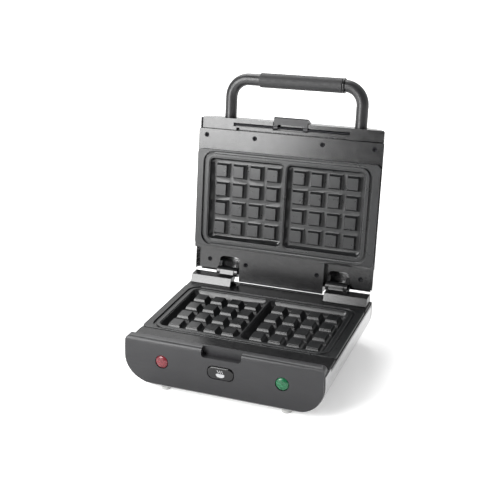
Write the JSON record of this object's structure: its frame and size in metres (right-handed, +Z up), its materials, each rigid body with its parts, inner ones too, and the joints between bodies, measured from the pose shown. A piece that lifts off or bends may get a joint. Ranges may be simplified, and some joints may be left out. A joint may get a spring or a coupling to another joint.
{
  "type": "waffle maker",
  "caption": "Two-slice waffle maker shown open: hinged lid with tubular handle and latch, non-stick plates, front panel with lamps and push button.",
  "frame": {"origin": "middle of the open appliance's footprint box, at the height of the table under its feet", "axes": "+Z up, -Y towards the user and the front panel, +X to the user's right"},
  "size_m": [0.2312, 0.2608, 0.3063],
  "materials": {
    "stainless_shell": "brushed stainless sheet, satin",
    "plain_steel": "plain steel sheet or wire",
    "dark_steel": "darkened or oxidised steel",
    "grey_plastic": "dark grey heat-resistant plastic, satin",
    "grip_plastic": "dark grey grip sleeve, satin",
    "black_plastic": "black heat-resistant plastic, satin",
    "gloss_black": "gloss black button cap with a pale icon",
    "white_plastic": "white switch plastic",
    "ceramic": "off-white steatite ceramic",
    "nonstick": "cast aluminium with dark grey non-stick coating",
    "coated_tube": "tube with dark grey satin coating",
    "grey_rubber": "light grey rubber",
    "red_lens": "red translucent lens",
    "green_lens": "green translucent lens"
  },
  "bodies": {
    "base": {"base_shell": "stainless_shell", "front_panel": "grey_plastic", "deck_frame": "black_plastic", "rear_panel": "black_plastic", "cord_gland": "black_plastic", "lower_grill_plate": "nonstick", "lower_heating_element": "dark_steel", "lower_heat_shield": "plain_steel", "thermostat": "ceramic", "thermal_fuse": "ceramic", "terminal_block": "ceramic", "power_switch": "white_plastic", "button_spring": "dark_steel", "red_lamp_lens": "red_lens", "red_lamp_holder": "white_plastic", "left_hinge_block": "black_plastic", "left_hinge_pin": "dark_steel", "front_left_foot": "grey_rubber", "rear_left_foot": "grey_rubber", "green_lamp_lens": "green_lens", "green_lamp_holder": "white_plastic", "right_hinge_block": "black_plastic", "right_hinge_pin": "dark_steel", "front_right_foot": "grey_rubber", "rear_right_foot": "grey_rubber"},
    "lid": {"lid_shell": "stainless_shell", "lid_front_panel": "grey_plastic", "lid_rear_panel": "black_plastic", "lid_frame": "black_plastic", "upper_grill_plate": "nonstick", "upper_heating_element": "dark_steel", "upper_heat_shield": "plain_steel", "handle_tube": "coated_tube", "handle_grip": "grip_plastic", "grip_end_ring": "black_plastic", "handle_bracket": "plain_steel", "lid_screw_1": "dark_steel", "lid_screw_2": "dark_steel", "lid_screw_3": "dark_steel", "lid_screw_4": "dark_steel", "lid_screw_5": "dark_steel", "lid_screw_6": "dark_steel", "lid_screw_7": "dark_steel", "lid_screw_8": "dark_steel", "latch_rod": "plain_steel", "left_handle_bolt": "dark_steel", "right_handle_bolt": "dark_steel"},
    "latch": {"latch_flap": "grey_plastic"},
    "button": {"push_button": "gloss_black"}
  },
  "joints": [
    {"name": "lid_hinge", "type": "hinge", "parent": "base", "child": "lid", "pos_m": [0, 0.0658, 0.0651], "axis": [1, 0, 0], "range_deg": [0, 100.2]},
    {"name": "latch_pivot", "type": "hinge", "parent": "lid", "child": "latch", "pos_m": [0, 0.10014, 0.24582], "axis": [1, 0, 0], "range_deg": [0, 50]},
    {"name": "button_press", "type": "slide", "parent": "base", "child": "button", "axis": [0, 1, 0], "range_m": [0, 0.0025], "stiffness_N_per_m": 200, "springref_m": -0.001, "deforming": ["button_spring"]}
  ]
}
